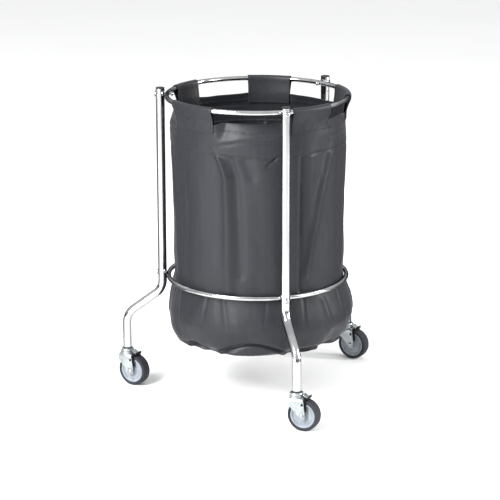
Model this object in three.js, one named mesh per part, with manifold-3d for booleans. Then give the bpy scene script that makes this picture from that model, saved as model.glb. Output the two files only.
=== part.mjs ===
// Linen trolley: three chrome-plated tube legs on swivel casters, a top ring and
// a lower hoop of round bar, and an open-top laundry bag hung from the ring by
// five fabric tabs. Units are millimetres, +Z is up, the floor is z = 0.
import * as THREE from 'three';
import { mergeVertices } from 'three/addons/utils/BufferGeometryUtils.js';
import Module from 'manifold-3d';

const wasm = await Module();
wasm.setup();

// ---------------------------------------------------------------- dimensions
const CENTER_X = -3.05; // ring axis, measured from the middle of the footprint
const CENTER_Y = 75.41;

const RING_R = 225; // centreline radius of the top ring and of the lower hoop
const BAR_D = 12; // round bar of ring and hoop
const RING_Z = 760;
const HOOP_Z = 300;
const ROUND_SEGMENTS = 48; // shared by ring, hoop, bag and tabs

const LEG_D = 22; // leg tube
const LEG_WALL = 1.5;
const LEG_R = 242.3; // leg axis from the ring axis, upper part
const FOOT_R = 335.3; // leg axis from the ring axis, lower part
const LEG_TOP = 774;
const BEND_UP_Z = 256; // corner of the upper bend, before rounding
const BEND_LOW_Z = 187;
const LEG_BOTTOM = 99;
const BEND_R = 45; // centreline radius of both bends
const LEG_SIDES = 12;

// each leg: its direction from the ring axis (degrees, 0 = towards -Y, positive
// towards +X) and the direction in which its caster trails
const LEGS = [
  { name: 'front', angle: 0, trail: 51.7 },
  { name: 'left', angle: -110, trail: 42.7 },
  { name: 'right', angle: 118, trail: 43.7 },
];

const SCREW_D = 6;
const SCREW_HEAD_D = 13.5;
const SCREW_HEAD_H = 3.6;
const SCREW_HOLE_D = 7;

const BAG_TOP = 720;
const BAG_BOTTOM = 147;
const TAB_OUTER_LOW = 698; // lower edge of each tab, outside the bag
const TAB_INNER_LOW = 692; // and inside it
// tabs: start and end direction in degrees, same convention as the legs
const TABS = [
  { name: 'front_right', from: 5.7, to: 33.7 },
  { name: 'right', from: 66, to: 99.7 },
  { name: 'back', from: 141.2, to: 169.9 },
  { name: 'back_left', from: 207.7, to: 230.7 },
  { name: 'front_left', from: 280.2, to: 315.0 },
];

const WHEEL_R = 40;
const HUB_R = 31.6;
const TRAIL = 20; // axle behind the swivel axis
const AXLE_D = 8;
const FORK_INNER = 17.8; // half the inside width of the fork
const FORK_T = 2.5;
const FORK_TOP = 84.5;
const LEVER_PIVOT_X = 21; // pivot of the brake lever, in the caster's own frame
const LEVER_PIVOT_Z = 70;

// ----------------------------------------------------------------- materials
const LOOK = {
  chrome: { color: 0xd9dcde, roughness: 0.12, metalness: 1.0 },
  zinc: { color: 0xc3ccd0, roughness: 0.38, metalness: 0.9 },
  fabric: { color: 0x4d4f53, roughness: 0.62, metalness: 0.0 },
  cap: { color: 0x3a3d40, roughness: 0.5, metalness: 0.0 },
  black: { color: 0x16171a, roughness: 0.45, metalness: 0.0 },
  hub: { color: 0xb7c0c8, roughness: 0.42, metalness: 0.0 },
  tyre: { color: 0x4a4c57, roughness: 0.78, metalness: 0.0 },
};

// ------------------------------------------------------------------- helpers
const deg = Math.PI / 180;
const trolley = new THREE.Group();
trolley.name = 'linen_trolley';

// closed geometry -> manifold solid, for adding and cutting
function solid(geometry) {
  let g = geometry.clone();
  g.deleteAttribute('normal');
  g.deleteAttribute('uv');
  g = mergeVertices(g, 1e-4);
  const mesh = new wasm.Mesh({
    numProp: 3,
    vertProperties: Float32Array.from(g.attributes.position.array),
    triVerts: Uint32Array.from(g.index.array),
  });
  mesh.merge();
  return new wasm.Manifold(mesh);
}

function geometryOf(manifold) {
  const m = manifold.getMesh();
  const position = new Float32Array(m.numVert * 3);
  for (let i = 0; i < m.numVert; i++) {
    position.set(m.vertProperties.subarray(i * m.numProp, i * m.numProp + 3), i * 3);
  }
  const g = new THREE.BufferGeometry();
  g.setAttribute('position', new THREE.BufferAttribute(position, 3));
  g.setIndex(new THREE.BufferAttribute(Uint32Array.from(m.triVerts), 1));
  g.computeVertexNormals();
  return g;
}

function put(name, manifold, look, matrix) {
  const g = geometryOf(manifold);
  if (matrix) g.applyMatrix4(matrix);
  g.translate(CENTER_X, CENTER_Y, 0);
  const material = new THREE.MeshStandardMaterial(LOOK[look]);
  const mesh = new THREE.Mesh(g, material);
  mesh.name = name;
  trolley.add(mesh);
}

// solid of revolution about Z from a closed (radius, z) profile
function turned(profile, segments) {
  let area = 0;
  profile.forEach(([r, z], i) => {
    const [r2, z2] = profile[(i + 1) % profile.length];
    area += r * z2 - r2 * z;
  });
  const loop = area > 0 ? profile : [...profile].reverse();
  const points = [...loop, loop[0]].map(([r, z]) => new THREE.Vector2(r, z));
  const g = new THREE.LatheGeometry(points, segments);
  g.rotateX(Math.PI / 2);
  return solid(g);
}

// straight round or prismatic bar between two heights, about Z
function post(radius, z0, z1, sides) {
  const g = new THREE.CylinderGeometry(radius, radius, z1 - z0, sides);
  g.rotateX(Math.PI / 2);
  g.translate(0, 0, (z0 + z1) / 2);
  return solid(g);
}

// round bar along +Y, standing at (x, z)
function crossBar(radius, y0, y1, x, z, sides) {
  const g = new THREE.CylinderGeometry(radius, radius, y1 - y0, sides);
  g.translate(x, (y0 + y1) / 2, z);
  return solid(g);
}

// a side profile in (x, z), as thick as y0..y1
function plate(outline, y0, y1) {
  const shape = new THREE.Shape(outline.map(([x, z]) => new THREE.Vector2(x, z)));
  const g = new THREE.ExtrudeGeometry(shape, { depth: y1 - y0, bevelEnabled: false });
  g.rotateX(Math.PI / 2); // (x, y, z) -> (x, -z, y)
  g.translate(0, y1, 0);
  return solid(g);
}

function arc(cx, cz, r, a0, a1, n) {
  const out = [];
  for (let i = 0; i <= n; i++) {
    const a = (a0 + ((a1 - a0) * i) / n) * deg;
    out.push([cx + r * Math.cos(a), cz + r * Math.sin(a)]);
  }
  return out;
}

const circle = (r, n) => arc(0, 0, r, 0, 360 - 360 / n, n - 1).map(([x, y]) => new THREE.Vector2(x, y));

// a path given by its own stations, so a sweep spends its steps on the bends
class StationPath extends THREE.Curve {
  constructor(points, tangents) {
    super();
    this.points = points;
    this.tangents = tangents;
  }
  at(list, u) {
    const last = list.length - 1;
    const i = Math.min(Math.floor(u * last + 1e-6), last - 1);
    return list[i].clone().lerp(list[i + 1], u * last - i);
  }
  getPoint(t) {
    return this.at(this.points, t);
  }
  getPointAt(u) {
    return this.at(this.points, u);
  }
  getTangent(t) {
    return this.at(this.tangents, t).normalize();
  }
  getTangentAt(u) {
    return this.getTangent(u);
  }
}

// direction (degrees from -Y towards +X) as a unit vector
const heading = (angle) => new THREE.Vector3(Math.sin(angle * deg), -Math.cos(angle * deg), 0);

// a leg lies in the XZ plane of its own frame, +X outwards; this turns it
const legMatrix = (angle) => new THREE.Matrix4().makeRotationZ((angle - 90) * deg);

// ------------------------------------------------------------ legs and rings
function legPath() {
  const corners = [
    [LEG_R, LEG_TOP],
    [LEG_R, BEND_UP_Z],
    [FOOT_R, BEND_LOW_Z],
    [FOOT_R, LEG_BOTTOM],
  ];
  const slope = Math.atan2(FOOT_R - LEG_R, BEND_UP_Z - BEND_LOW_Z); // from vertical
  const reach = BEND_R * Math.tan(slope / 2);
  const points = [];
  const tangents = [];
  const add = (x, z, a) => {
    points.push(new THREE.Vector3(x, 0, z));
    tangents.push(new THREE.Vector3(Math.sin(a), 0, -Math.cos(a)));
  };
  const steps = 3;
  add(...corners[0], 0);
  for (let i = 0; i <= steps; i++) {
    const a = (slope * i) / steps;
    add(LEG_R + BEND_R * (1 - Math.cos(a)), BEND_UP_Z + reach - BEND_R * Math.sin(a), a);
  }
  for (let i = steps; i >= 0; i--) {
    const a = (slope * i) / steps;
    add(FOOT_R - BEND_R * (1 - Math.cos(a)), BEND_LOW_Z - reach + BEND_R * Math.sin(a), a);
  }
  add(...corners[3], 0);
  return new StationPath(points, tangents);
}

function legTube() {
  const shape = new THREE.Shape(circle(LEG_D / 2, LEG_SIDES));
  shape.holes.push(new THREE.Path(circle(LEG_D / 2 - LEG_WALL, LEG_SIDES)));
  const path = legPath();
  const g = new THREE.ExtrudeGeometry(shape, {
    steps: path.points.length - 1,
    extrudePath: path,
    bevelEnabled: false,
  });
  let tube = solid(g);
  for (const z of [RING_Z, HOOP_Z]) {
    tube = tube.subtract(radialBar(SCREW_HOLE_D / 2, LEG_R - 20, LEG_R + 20, z, 12));
  }
  return tube;
}

// bar along the leg's own +X
function radialBar(radius, x0, x1, z, sides) {
  const g = new THREE.CylinderGeometry(radius, radius, x1 - x0, sides);
  g.rotateZ(Math.PI / 2);
  g.translate((x0 + x1) / 2, 0, z);
  return solid(g);
}

function turnedRadial(profile, segments, z) {
  // profile is (radius, distance from the ring axis); its axis is the leg's +X
  const m = turned(profile, segments);
  return m.rotate([0, 90, 0]).translate([0, 0, z]);
}

// button-head screw, pushed in from outside the leg
function screw(z, tip) {
  const seat = LEG_R + LEG_D / 2 + 0.3;
  const r = SCREW_HEAD_D / 2;
  let s = turnedRadial(
    [
      [0, tip],
      [SCREW_D / 2 - 0.6, tip],
      [SCREW_D / 2, tip + 0.8],
      [SCREW_D / 2, seat],
      [r, seat],
      [r * 0.97, seat + SCREW_HEAD_H * 0.35],
      [r * 0.78, seat + SCREW_HEAD_H * 0.8],
      [r * 0.45, seat + SCREW_HEAD_H],
      [0, seat + SCREW_HEAD_H],
    ],
    12,
    z,
  );
  const socket = new THREE.CylinderGeometry(2.3, 2.3, 4, 6);
  socket.rotateZ(Math.PI / 2);
  socket.translate(seat + SCREW_HEAD_H + 0.2, 0, z);
  return s.subtract(solid(socket));
}

// domed cap nut inside the top ring
function capNut(z) {
  const seat = RING_R - BAR_D / 2 - 0.9;
  const hex = new THREE.CylinderGeometry(5.8, 5.8, 5, 6);
  hex.rotateZ(Math.PI / 2);
  hex.translate(seat - 2.5, 0, z);
  const dome = turnedRadial(
    [
      [0, seat - 9.5],
      [2.6, seat - 9],
      [4.2, seat - 7.2],
      [4.8, seat - 4],
      [0, seat - 4],
    ],
    12,
    z,
  );
  const bore = radialBar(SCREW_D / 2 + 0.5, seat - 6.5, seat + 1, z, 10);
  return solid(hex).add(dome).subtract(bore);
}

function hoopOf(z, through) {
  const torus = new THREE.TorusGeometry(RING_R, BAR_D / 2, 8, ROUND_SEGMENTS);
  torus.translate(0, 0, z);
  let ring = solid(torus);
  for (const leg of LEGS) {
    const from = through ? RING_R - 12 : RING_R - 3;
    const bore = radialBar(SCREW_HOLE_D / 2, from, RING_R + 12, z, 12);
    ring = ring.subtract(bore.transform([...legMatrix(leg.angle).elements]));
  }
  return ring;
}

put('top_ring', hoopOf(RING_Z, true), 'chrome');
put('lower_hoop', hoopOf(HOOP_Z, false), 'chrome');

const tube = legTube();
const ringScrew = screw(RING_Z, RING_R - BAR_D / 2 - 5.6);
const hoopScrew = screw(HOOP_Z, RING_R - 2);
const nut = capNut(RING_Z);

// plastic end cap: ribbed plug inside the tube, domed disc on top
const endCap = turned(
  [
    [0, LEG_TOP - 9.5],
    [8.4, LEG_TOP - 9.5],
    [8.8, LEG_TOP - 8],
    [8.8, LEG_TOP + 0.4],
    [11.2, LEG_TOP + 0.4],
    [11.2, LEG_TOP + 1.6],
    [10.2, LEG_TOP + 2.8],
    [0, LEG_TOP + 3.2],
  ],
  14,
);

// ------------------------------------------------------------------- casters
// Each caster is modelled with its swivel axis at x = y = 0 and the wheel
// trailing towards +X; the axle runs along Y.

// sleeve that grips the stem inside the tube, with a dark rim under the tube
const socketSleeve = turned(
  [
    [5.5, 96.3],
    [11.6, 96.3],
    [11.6, 98.7],
    [9.0, 98.7],
    [9.0, 130],
    [5.5, 130],
  ],
  14,
);

// steel stem and kingpin in one: pin head under the fork, shoulder, grip stem
const stem = turned(
  [
    [0, 79.0],
    [5.6, 79.0],
    [6.4, 79.8],
    [6.4, 81.4],
    [4.2, 81.4],
    [4.2, 88.6],
    [5.0, 88.6],
    [5.0, 125],
    [4.2, 127],
    [0, 127],
  ],
  12,
);

// pressed upper race, fixed on the stem above the fork
const headCup = turned(
  [
    [5.5, 88.9],
    [16.2, 88.9],
    [16.8, 89.8],
    [16.8, 93.2],
    [14.6, 95.6],
    [10, 96.0],
    [5.5, 96.0],
  ],
  18,
);

function forkSolid() {
  // cross-section in (y, z): an upside-down U with rounded shoulders
  const out = FORK_INNER + FORK_T;
  const section = [
    [-out, 20],
    [-out, FORK_TOP - 7],
    ...arc(-out + 7, FORK_TOP - 7, 7, 180, 90, 3).slice(1),
    ...arc(out - 7, FORK_TOP - 7, 7, 90, 0, 3),
    [out, 20],
    [FORK_INNER, 20],
    [FORK_INNER, FORK_TOP - FORK_T - 4.5],
    ...arc(FORK_INNER - 4.5, FORK_TOP - FORK_T - 4.5, 4.5, 0, 90, 2).slice(1),
    ...arc(-FORK_INNER + 4.5, FORK_TOP - FORK_T - 4.5, 4.5, 90, 180, 2),
    [-FORK_INNER, 20],
  ];
  const shape = new THREE.Shape(section.map(([y, z]) => new THREE.Vector2(y, z)));
  const channel = new THREE.ExtrudeGeometry(shape, { depth: 60, bevelEnabled: false });
  channel.rotateX(Math.PI / 2); // section upright, running along -Y
  channel.rotateZ(Math.PI / 2); // running along +X
  channel.translate(-20, 0, 0);
  // side profile in (x, z): broad at the crown, narrow at the axle
  const profile = [
    [-13.5, FORK_TOP + 1],
    [-14.5, 71],
    [-11, 63.5],
    [7, 43.5],
    ...arc(TRAIL, WHEEL_R, 9, 220, 345, 5),
    [27.5, 52.5],
    [24.5, 76],
    [22, FORK_TOP + 1],
  ];
  let fork = solid(channel).intersect(plate(profile, -30, 30));
  // raised lower race on the crown
  fork = fork.add(
    turned(
      [
        [6, FORK_TOP - 2],
        [17.4, FORK_TOP - 2],
        [17.4, 87],
        [16.2, 88.5],
        [6, 88.5],
      ],
      18,
    ),
  );
  fork = fork.subtract(post(4.8, 60, 100, 12));
  fork = fork.subtract(crossBar(AXLE_D / 2 + 0.4, -30, 30, TRAIL, WHEEL_R, 12));
  fork = fork.subtract(crossBar(2.1, -30, 30, LEVER_PIVOT_X, LEVER_PIVOT_Z, 10));
  return fork;
}

// axle bolt with a low round head on the -Y side
function axleBolt() {
  const head = FORK_INNER + FORK_T + 0.3;
  const bolt = turned(
    [
      [0, -head - 3.2],
      [5.2, -head - 3.2],
      [6.6, -head - 1.6],
      [6.6, -head],
      [AXLE_D / 2, -head],
      [AXLE_D / 2, head + 5.6],
      [AXLE_D / 2 - 0.8, head + 6.4],
      [0, head + 6.4],
    ],
    12,
  );
  return bolt.rotate([-90, 0, 0]).translate([TRAIL, 0, WHEEL_R]);
}

function axleNut() {
  const seat = FORK_INNER + FORK_T + 0.3;
  const hex = new THREE.CylinderGeometry(7.5, 7.5, 5, 6);
  hex.translate(TRAIL, seat + 2.5, WHEEL_R);
  return solid(hex).subtract(crossBar(AXLE_D / 2 + 0.4, 0, 40, TRAIL, WHEEL_R, 12));
}

// wheels are turned about Z, then laid so the axis runs along Y
const layWheel = (m) => m.rotate([90, 0, 0]).translate([TRAIL, 0, WHEEL_R]);

const hub = layWheel(
  turned(
    [
      [4.8, -16.4],
      [6.4, -16.4],
      [7.6, -9.0],
      [26.2, -9.4],
      [28.2, -12.8],
      [HUB_R, -12.8],
      [HUB_R, 12.8],
      [28.2, 12.8],
      [26.2, 9.4],
      [7.6, 9.0],
      [6.4, 16.4],
      [4.8, 16.4],
    ],
    20,
  ),
);

// the outermost facets stand WHEEL_R from the axle, one of them flat on the floor
const TYRE_SIDES = 28;
function tyreSolid() {
  const k = 1 / Math.cos(Math.PI / TYRE_SIDES);
  const t = turned(
    [
      [32.2, -13],
      [35.8, -14.5],
      [38.6 * k, -13],
      [39.8 * k, -9.8],
      [WHEEL_R * k, -6.5],
      [WHEEL_R * k, 6.5],
      [39.8 * k, 9.8],
      [38.6 * k, 13],
      [35.8, 14.5],
      [32.2, 13],
    ],
    TYRE_SIDES,
  );
  return layWheel(t.rotate([0, 0, 180 / TYRE_SIDES]));
}

// brake lever: a bridge over the tyre with an upturned toe tip, two side arms
// inside the fork, and a riveted stub at each side as the pivot
function brakeLever() {
  const armIn = 15.2;
  const armOut = 17.0;
  const arm = [
    [16.5, 73],
    [16.5, 64],
    [25, 52],
    [31, 52.5],
    [30.5, 64],
    [29.5, 74],
    [29, 82.5],
    [24.6, 82.5],
    [23.5, 75],
  ];
  const bridge = [
    [23.6, 81.2],
    [30.5, 81.2],
    [30.5, 83.5],
    [23.6, 83.5],
  ];
  const toe = [
    [29, 81.2],
    [33.0, 81.2],
    [35.2, 83.6],
    [35.2, 88.6],
    [33.2, 89.2],
    [31.6, 86.0],
    [31.4, 83.5],
    [29, 83.5],
  ];
  let lever = plate(bridge, -armOut, armOut).add(plate(toe, -11, 11));
  for (const side of [-1, 1]) {
    const a = side * armIn;
    const b = side * armOut;
    lever = lever.add(plate(arm, Math.min(a, b), Math.max(a, b)));
    const stubEnd = FORK_INNER + FORK_T + 0.4;
    const s0 = side * (armOut - 0.5);
    const s1 = side * (stubEnd + 0.2);
    const h0 = side * stubEnd;
    const h1 = side * (stubEnd + 1.1);
    lever = lever.add(
      crossBar(1.65, Math.min(s0, s1), Math.max(s0, s1), LEVER_PIVOT_X, LEVER_PIVOT_Z, 10),
    );
    lever = lever.add(
      crossBar(3.1, Math.min(h0, h1), Math.max(h0, h1), LEVER_PIVOT_X, LEVER_PIVOT_Z, 10),
    );
  }
  return lever;
}

// pressed plate on top of the lever, sloping from the upper race to the toe
const leverPlate = plate(
  [
    [18.8, 91.2],
    [28.4, 84.6],
    [31.0, 83.9],
    [31.0, 85.4],
    [29.0, 86.1],
    [19.4, 92.7],
  ],
  -8.5,
  8.5,
);

const caster = {
  socket: [socketSleeve, 'cap'],
  stem: [stem, 'zinc'],
  head: [headCup, 'zinc'],
  fork: [forkSolid(), 'zinc'],
  axle_bolt: [axleBolt(), 'zinc'],
  axle_nut: [axleNut(), 'zinc'],
  hub: [hub, 'hub'],
  tyre: [tyreSolid(), 'tyre'],
  brake_lever: [brakeLever(), 'black'],
  brake_plate: [leverPlate, 'zinc'],
};

for (const leg of LEGS) {
  const m = legMatrix(leg.angle);
  put('leg_tube_' + leg.name, tube, 'chrome', m);
  const atLeg = m.clone().multiply(new THREE.Matrix4().makeTranslation(LEG_R, 0, 0));
  put('leg_cap_' + leg.name, endCap, 'cap', atLeg);
  put('ring_screw_' + leg.name, ringScrew, 'chrome', m);
  put('ring_nut_' + leg.name, nut, 'chrome', m);
  put('hoop_screw_' + leg.name, hoopScrew, 'chrome', m);

  const foot = heading(leg.angle).multiplyScalar(FOOT_R);
  const place = new THREE.Matrix4()
    .makeTranslation(foot.x, foot.y, 0)
    .multiply(legMatrix(leg.trail));
  for (const [piece, [manifold, look]] of Object.entries(caster)) {
    put('caster_' + leg.name + '_' + piece, manifold, look, place);
  }
}

// ----------------------------------------------------------------------- bag
// Open-top shell, slightly waisted, tight inside the hoop and bulging below it.
const bagProfile = [
  [0, BAG_BOTTOM],
  [196, BAG_BOTTOM],
  [213, 154],
  [225, 168],
  [230, 192],
  [231, 222],
  [225, 258],
  [214.8, 298],
  [212.5, 410],
  [218, 650],
  [219, BAG_TOP],
  [216.8, BAG_TOP],
  [215.8, 650],
  [210.3, 410],
  [212.6, 298],
  [222.8, 257],
  [228.8, 222],
  [227.8, 192.5],
  [223, 169.2],
  [211.8, 156],
  [195.2, BAG_BOTTOM + 2.3],
  [0, BAG_BOTTOM + 2.3],
];
put('bag_shell', turned(bagProfile, ROUND_SEGMENTS), 'fabric');

// Tabs: one loop of fabric over the ring, its ends either side of the bag wall.
const tabRing = turned(
  [
    [220.4, TAB_OUTER_LOW],
    [220.4, 704],
    [231.2, 750],
    ...arc(RING_R, RING_Z, 6.9, 0, 180, 4),
    [215.6, 735],
    [215.6, TAB_INNER_LOW],
    [214, TAB_INNER_LOW],
    [214, 735],
    ...arc(RING_R, RING_Z, 8.6, 180, 0, 4),
    [232.9, 750],
    [222, 703.5],
    [222, TAB_OUTER_LOW],
  ],
  ROUND_SEGMENTS,
);
for (const tab of TABS) {
  const wedge = [new THREE.Vector2(0, 0)];
  for (let i = 0; i <= 2; i++) {
    const h = heading(tab.from + ((tab.to - tab.from) * i) / 2);
    wedge.push(new THREE.Vector2(h.x * 300, h.y * 300));
  }
  const g = new THREE.ExtrudeGeometry(new THREE.Shape(wedge), { depth: 400, bevelEnabled: false });
  g.translate(0, 0, 500);
  put('bag_tab_' + tab.name, tabRing.intersect(solid(g)), 'fabric');
}

export default trolley;
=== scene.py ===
import math

import bmesh
import bpy
import numpy as np
from mathutils import Matrix, Vector, noise


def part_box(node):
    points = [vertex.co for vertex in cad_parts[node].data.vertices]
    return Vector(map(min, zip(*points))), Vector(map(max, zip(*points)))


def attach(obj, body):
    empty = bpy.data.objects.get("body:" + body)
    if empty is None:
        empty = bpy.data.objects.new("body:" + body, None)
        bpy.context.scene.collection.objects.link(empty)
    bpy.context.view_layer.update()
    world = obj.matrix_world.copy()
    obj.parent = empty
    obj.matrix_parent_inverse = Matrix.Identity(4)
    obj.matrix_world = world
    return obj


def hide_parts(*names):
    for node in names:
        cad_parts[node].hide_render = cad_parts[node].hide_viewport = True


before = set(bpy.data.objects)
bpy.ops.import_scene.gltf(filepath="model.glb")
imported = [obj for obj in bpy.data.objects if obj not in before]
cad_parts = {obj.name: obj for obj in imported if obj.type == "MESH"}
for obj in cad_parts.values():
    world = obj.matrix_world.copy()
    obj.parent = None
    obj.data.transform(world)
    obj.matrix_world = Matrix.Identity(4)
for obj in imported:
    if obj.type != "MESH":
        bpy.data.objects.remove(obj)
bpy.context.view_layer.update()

scene = bpy.context.scene

# --------------------------------------------------------------- measurements
# Everything is in metres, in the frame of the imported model.
lo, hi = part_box("top_ring")
CX, CY = (lo[0] + hi[0]) / 2, (lo[1] + hi[1]) / 2
RING_Z = (lo[2] + hi[2]) / 2
lo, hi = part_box("lower_hoop")
HOOP_Z = (lo[2] + hi[2]) / 2
RING_R, BAR_R = 0.225, 0.006
LEG_R, FOOT_R = 0.2423, 0.3353
LEG_TOP, LEG_BOTTOM = 0.774, 0.099
BEND_UP, BEND_LOW, BEND_R = 0.256, 0.187, 0.045
TUBE_R, TUBE_IN = 0.011, 0.0095
VIEW_AZ = -16.3  # where the viewer stands, from -Y towards +X
LEGS = {"front": (0.0, 51.7), "left": (-110.0, 42.7), "right": (118.0, 43.7)}
TABS = {
    "front_right": (5.7, 33.7),
    "right": (66.0, 99.7),
    "back": (141.2, 169.9),
    "back_left": (207.7, 230.7),
    "front_left": (280.2, 315.0),
}
WHEEL_R, TRAIL = 0.040, 0.020
FORK_IN, FORK_T = 0.0178, 0.0025


def rad(a):
    return math.radians(a)


# --------------------------------------------------------------------- camera
def make_camera():
    dist, height, focal_px = 5.0, 1.748, 2050.0
    yaw, pitch, roll = -0.0038, 0.2706, -0.002
    turn = Matrix.Rotation(rad(VIEW_AZ), 3, "Z")
    place = turn @ Vector((0, -dist, height)) + Vector((CX, CY, 0))
    fw = Vector((math.sin(yaw) * math.cos(pitch), math.cos(yaw) * math.cos(pitch), -math.sin(pitch)))
    right = Vector((math.cos(yaw), -math.sin(yaw), 0))
    up = right.cross(fw)
    r2 = math.cos(roll) * right + math.sin(roll) * up
    u2 = -math.sin(roll) * right + math.cos(roll) * up
    m = Matrix((r2, u2, -fw)).transposed()
    cam = bpy.data.cameras.new("camera")
    cam.sensor_width = 36.0
    cam.lens = focal_px / 500.0 * 36.0
    cam.clip_end = 100
    ob = bpy.data.objects.new("camera", cam)
    scene.collection.objects.link(ob)
    ob.matrix_world = Matrix.Translation(place) @ (turn @ m).to_4x4()
    scene.camera = ob


make_camera()


# ------------------------------------------------------------------ materials
class Nodes:
    """A short way to write a material's node tree."""

    def __init__(self, name):
        self.mat = bpy.data.materials.new(name)
        self.mat.use_nodes = True
        self.tree = self.mat.node_tree
        self.bsdf = self.tree.nodes["Principled BSDF"]

    def add(self, kind, **props):
        n = self.tree.nodes.new(kind)
        for k, v in props.items():
            setattr(n, k, v)
        return n

    def link(self, a, b):
        self.tree.links.new(a, b)

    def coords(self, space="Object", scale=(1, 1, 1)):
        tc = self.add("ShaderNodeTexCoord")
        mp = self.add("ShaderNodeMapping")
        mp.inputs["Scale"].default_value = scale
        self.link(tc.outputs[space], mp.inputs["Vector"])
        return mp.outputs["Vector"]

    def noise(self, vec, scale, detail=3.0, rough=0.55):
        n = self.add("ShaderNodeTexNoise")
        n.inputs["Scale"].default_value = scale
        n.inputs["Detail"].default_value = detail
        n.inputs["Roughness"].default_value = rough
        self.link(vec, n.inputs["Vector"])
        return n.outputs["Fac"]

    def ramp(self, fac, a, b, lo=0.3, hi=0.7):
        r = self.add("ShaderNodeValToRGB")
        e = r.color_ramp.elements
        e[0].position, e[1].position = lo, hi
        e[0].color = (*a, 1) if hasattr(a, "__len__") else (a, a, a, 1)
        e[1].color = (*b, 1) if hasattr(b, "__len__") else (b, b, b, 1)
        self.link(fac, r.inputs["Fac"])
        return r.outputs["Color"]

    def span(self, fac, a, b, lo=0.0, hi=1.0):
        m = self.add("ShaderNodeMapRange")
        m.inputs["From Min"].default_value = lo
        m.inputs["From Max"].default_value = hi
        m.inputs["To Min"].default_value = a
        m.inputs["To Max"].default_value = b
        self.link(fac, m.inputs["Value"])
        return m.outputs["Result"]

    def math(self, op, a, b):
        m = self.add("ShaderNodeMath", operation=op)
        for i, v in enumerate((a, b)):
            if isinstance(v, (int, float)):
                m.inputs[i].default_value = v
            else:
                self.link(v, m.inputs[i])
        return m.outputs["Value"]

    def bump(self, height, strength, distance, normal=None):
        b = self.add("ShaderNodeBump")
        b.inputs["Strength"].default_value = strength
        b.inputs["Distance"].default_value = distance
        self.link(height, b.inputs["Height"])
        if normal is not None:
            self.link(normal, b.inputs["Normal"])
        return b.outputs["Normal"]

    def set(self, **kw):
        for k, v in kw.items():
            s = self.bsdf.inputs[k.replace("_", " ")]
            if hasattr(v, "is_output"):
                self.link(v, s)
            else:
                s.default_value = v
        return self.mat


def chrome_material(name, dull=0.0):
    n = Nodes(name)
    v = n.coords(scale=(1, 1, 0.25))
    cloud = n.noise(v, 26, 4)
    fine = n.noise(n.coords(scale=(1, 1, 0.06)), 900, 2)
    color = n.ramp(cloud, (0.38, 0.385, 0.392), (0.53, 0.533, 0.538), 0.35, 0.65)
    rough = n.span(cloud, 0.07 + dull, 0.17 + dull, 0.3, 0.7)
    nrm = n.bump(fine, 0.12, 0.00008)
    return n.set(Base_Color=color, Roughness=rough, Metallic=1.0, Normal=nrm, Specular_Tint=(0.16, 0.16, 0.18, 1))


def zinc_material(name):
    n = Nodes(name)
    v = n.coords()
    cloud = n.noise(v, 60, 4)
    fine = n.noise(v, 1500, 2)
    color = n.ramp(cloud, (0.30, 0.325, 0.335), (0.42, 0.45, 0.458), 0.3, 0.7)
    rough = n.span(cloud, 0.26, 0.42, 0.3, 0.7)
    nrm = n.bump(fine, 0.25, 0.00006, n.bump(cloud, 0.15, 0.0004))
    return n.set(Base_Color=color, Roughness=rough, Metallic=0.9, Normal=nrm, Specular_Tint=(0.8, 0.82, 0.85, 1))


def plastic_material(name, dark, light, rough, grain=2400, depth=0.00006, spec=0.35):
    n = Nodes(name)
    v = n.coords()
    cloud = n.noise(v, 70, 3)
    fine = n.noise(v, grain, 2)
    color = n.ramp(cloud, dark, light, 0.3, 0.7)
    r = n.span(cloud, rough - 0.06, rough + 0.06, 0.3, 0.7)
    nrm = n.bump(fine, 0.35, depth)
    return n.set(Base_Color=color, Roughness=r, Normal=nrm, Specular_IOR_Level=spec)


def tyre_material(name):
    n = Nodes(name)
    v = n.coords()
    cloud = n.noise(v, 45, 4)
    dust = n.noise(v, 260, 3)
    fine = n.noise(v, 1800, 2)
    mix = n.math("ADD", n.math("MULTIPLY", cloud, 0.6), n.math("MULTIPLY", dust, 0.4))
    color = n.ramp(mix, (0.012, 0.013, 0.017), (0.027, 0.029, 0.036), 0.36, 0.66)
    nrm = n.bump(fine, 0.5, 0.0001, n.bump(dust, 0.25, 0.0003))
    return n.set(Base_Color=color, Roughness=n.span(dust, 0.66, 0.84, 0.3, 0.7), Normal=nrm, Specular_IOR_Level=0.3)


def fabric_material(name, tint=1.0):
    """Coated woven polyester: a plain weave under a thin coat, in UV metres."""
    n = Nodes(name)
    uv = n.coords("UV")
    pitch = 0.0011
    waves = []
    for axis in ("X", "Y"):
        w = n.add("ShaderNodeTexWave", wave_type="BANDS", bands_direction=axis, wave_profile="SIN")
        w.inputs["Scale"].default_value = 1 / pitch / 3.1416 / 2 * 1.0
        w.inputs["Distortion"].default_value = 0.6
        w.inputs["Detail"].default_value = 1.0
        n.link(uv, w.inputs["Vector"])
        waves.append(w.outputs["Fac"])
    weave = n.math("MULTIPLY", waves[0], waves[1])
    cloud = n.noise(uv, 7, 4)
    mottle = n.noise(uv, 90, 3)
    creases = n.noise(n.coords("UV", (1, 0.35, 1)), 30, 5, 0.65)
    mix = n.math("ADD", n.math("MULTIPLY", cloud, 0.65), n.math("MULTIPLY", mottle, 0.35))
    a = tuple(c * tint for c in (0.0140, 0.0144, 0.0172))
    b = tuple(c * tint for c in (0.0215, 0.0222, 0.0260))
    color = n.ramp(mix, a, b, 0.35, 0.65)
    rough = n.span(mix, 0.34, 0.44, 0.3, 0.7)
    nrm = n.bump(creases, 0.30, 0.0022)
    nrm = n.bump(mottle, 0.25, 0.0003, nrm)
    nrm = n.bump(weave, 0.45, 0.00016, nrm)
    return n.set(
        Base_Color=color,
        Roughness=rough,
        Normal=nrm,
        Sheen_Weight=0.01,
        Sheen_Roughness=0.4,
        Specular_IOR_Level=0.185,
    )


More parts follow.
